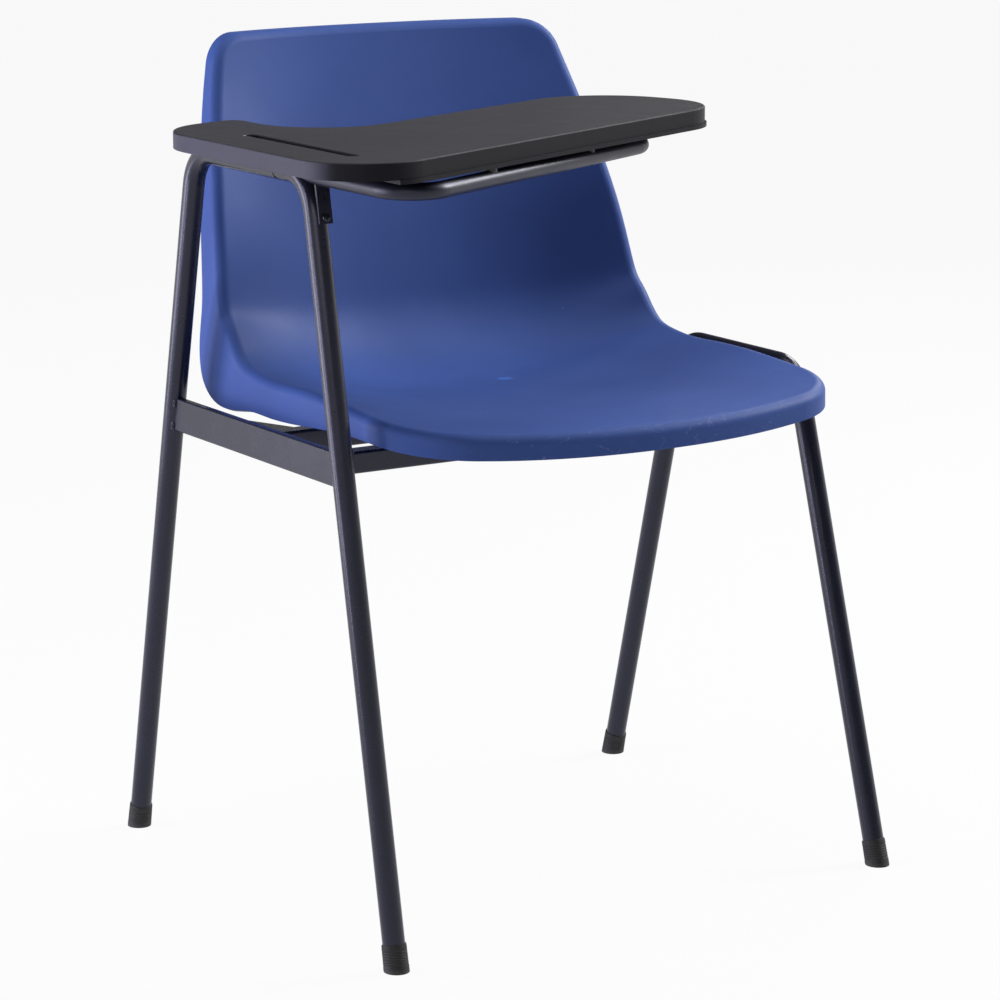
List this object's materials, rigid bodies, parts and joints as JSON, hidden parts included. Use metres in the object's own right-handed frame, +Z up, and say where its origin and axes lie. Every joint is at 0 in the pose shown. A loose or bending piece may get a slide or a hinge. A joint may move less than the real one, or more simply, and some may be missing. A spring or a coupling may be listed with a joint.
{
  "type": "tablet arm chair",
  "caption": "Moulded one-piece seat shell on splayed tubular steel side frames, with a writing tablet that flips up from the right arm rail.",
  "frame": {"origin": "on the floor, under the middle of the overall length and width", "axes": "+Z up; the sitter faces -Y, so +Y is behind the backrest; +X is the sitter's left, and the tablet is on the -X side"},
  "size_m": [0.6202, 0.5434, 0.77],
  "materials": {
    "frame_paint": "satin blue-black powder paint",
    "carrier_paint": "satin blue-black powder paint, worn on the bends",
    "foot_rubber": "matt black moulded rubber",
    "shell_plastic": "mid blue moulded plastic with a fine satin grain",
    "board_plastic": "matt dark grey writing surface",
    "small_plastic": "black moulded plastic",
    "insert_brass": "plain brass",
    "screw_steel": "bright zinc plated steel"
  },
  "bodies": {
    "chair": {"right_side_frame_tube": "frame_paint", "left_side_frame_tube": "frame_paint", "right_side_rail": "frame_paint", "left_side_rail": "frame_paint", "front_cross_bar": "frame_paint", "rear_cross_bar": "frame_paint", "rail_gusset": "frame_paint", "carrier_rest_plate": "frame_paint", "rest_plate_screw": "frame_paint", "foot_front_right": "foot_rubber", "foot_rear_right": "foot_rubber", "foot_front_left": "foot_rubber", "foot_rear_left": "foot_rubber", "seat_shell": "shell_plastic", "front_pivot_bush": "small_plastic", "rear_pivot_bush": "small_plastic", "seat_inserts": "insert_brass", "seat_washers": "screw_steel", "seat_screws": "screw_steel"},
    "tablet_arm": {"tablet_carrier_tube": "carrier_paint", "carrier_end_plug": "small_plastic", "stop_pin": "screw_steel", "board_spacers": "small_plastic", "board_screws": "screw_steel", "tablet_board": "board_plastic"}
  },
  "joints": [
    {"name": "tablet_flip", "type": "hinge", "parent": "chair", "child": "tablet_arm", "pos_m": [-0.23735, 0, 0.678], "axis": [0, -1, 0], "range_deg": [0, 90]}
  ]
}
